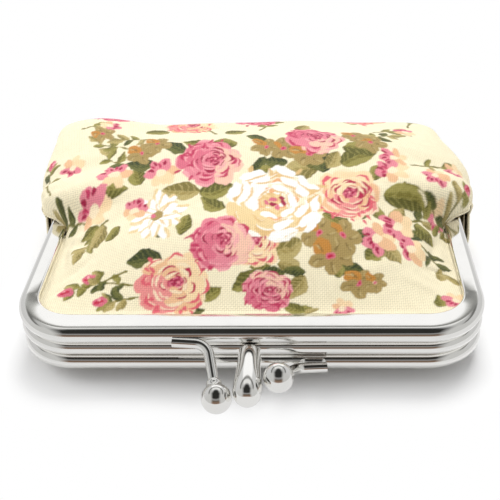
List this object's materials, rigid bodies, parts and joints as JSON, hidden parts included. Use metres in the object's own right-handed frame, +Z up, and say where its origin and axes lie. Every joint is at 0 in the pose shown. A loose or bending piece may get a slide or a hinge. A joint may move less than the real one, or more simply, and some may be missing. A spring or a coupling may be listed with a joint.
{
  "type": "double kiss-lock coin purse",
  "caption": "Small printed cloth coin purse with two compartments on three hinged metal bars, held shut by a ball clasp, lying on its back.",
  "frame": {"origin": "on the table, below the middle of the purse's outline", "axes": "+X across the purse to the right seen from the clasp, +Y from the clasp to the far seam, +Z up out of the front panel"},
  "size_m": [0.111, 0.1036, 0.0255],
  "materials": {
    "plated_steel": "bright nickel plate, polished",
    "printed_cloth": "plain-weave cotton with a rose print, bonded to a soft backing",
    "lining_cloth": "plain cotton lining",
    "paper_cord": "twisted paper cord"
  },
  "bodies": {
    "bag": {"middle_frame": "plated_steel", "hinge_rivet_right": "plated_steel", "hinge_rivet_left": "plated_steel", "middle_paper_cord": "paper_cord", "middle_clasp_post": "plated_steel", "divider": "lining_cloth", "front_panel_fold": "printed_cloth", "front_panel_pouch": "printed_cloth", "front_lining_fold": "lining_cloth", "front_lining_pouch": "lining_cloth", "back_panel_fold": "printed_cloth", "back_panel_pouch": "printed_cloth", "back_lining_fold": "lining_cloth", "back_lining_pouch": "lining_cloth"},
    "front_bar": {"front_frame": "plated_steel", "front_paper_cord": "paper_cord", "front_clasp_arm": "plated_steel", "front_clasp_ball": "plated_steel", "front_panel_flap": "printed_cloth", "front_lining_flap": "lining_cloth"},
    "back_bar": {"back_frame": "plated_steel", "back_paper_cord": "paper_cord", "back_clasp_arm": "plated_steel", "back_clasp_ball": "plated_steel", "back_panel_flap": "printed_cloth", "back_lining_flap": "lining_cloth"}
  },
  "joints": [
    {"name": "front_bar_hinge", "type": "hinge", "parent": "bag", "child": "front_bar", "pos_m": [0, 0.01183, 0.00885], "axis": [-1, 0, 0], "range_deg": [0, 80], "deforming": ["front_panel_fold", "front_lining_fold"]},
    {"name": "back_bar_hinge", "type": "hinge", "parent": "bag", "child": "back_bar", "pos_m": [0, 0.01183, 0.00885], "axis": [1, 0, 0], "range_deg": [0, 80], "deforming": ["back_panel_fold", "back_lining_fold"]}
  ]
}
